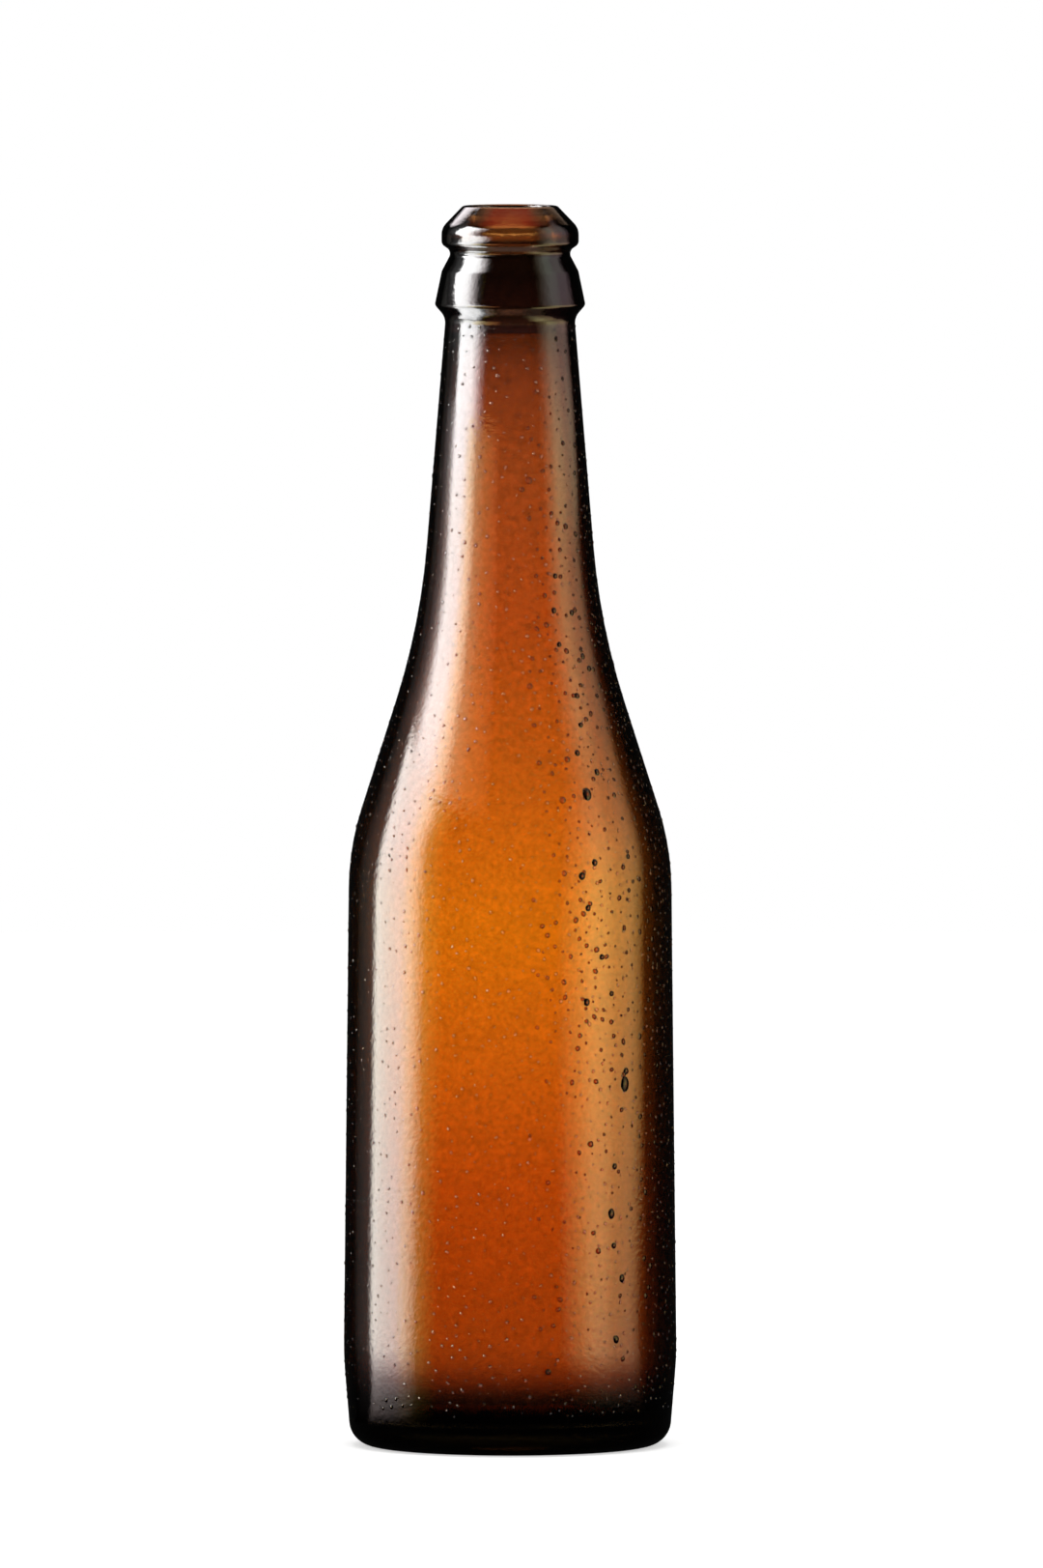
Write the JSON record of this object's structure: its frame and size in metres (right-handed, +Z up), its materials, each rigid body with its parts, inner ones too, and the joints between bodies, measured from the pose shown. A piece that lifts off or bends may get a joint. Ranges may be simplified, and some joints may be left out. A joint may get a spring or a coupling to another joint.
{
  "type": "beer bottle",
  "caption": "Open long-neck bottle of amber glass with a crown finish and a push-up base, filled with beer to just under the finish",
  "frame": {"origin": "centre of the circle that the bottle stands on, at the level of the flat bearing ring", "axes": "+Z up along the bottle's axis of revolution; +X and +Y level and interchangeable"},
  "size_m": [0.0614, 0.0614, 0.2289],
  "materials": {
    "amber_glass": "gloss, amber tinted, clear",
    "beer": "clear golden liquid",
    "condensation": "clear water drops"
  },
  "bodies": {
    "root": {"bottle": "amber_glass", "beer": "beer"}
  },
  "joints": []
}
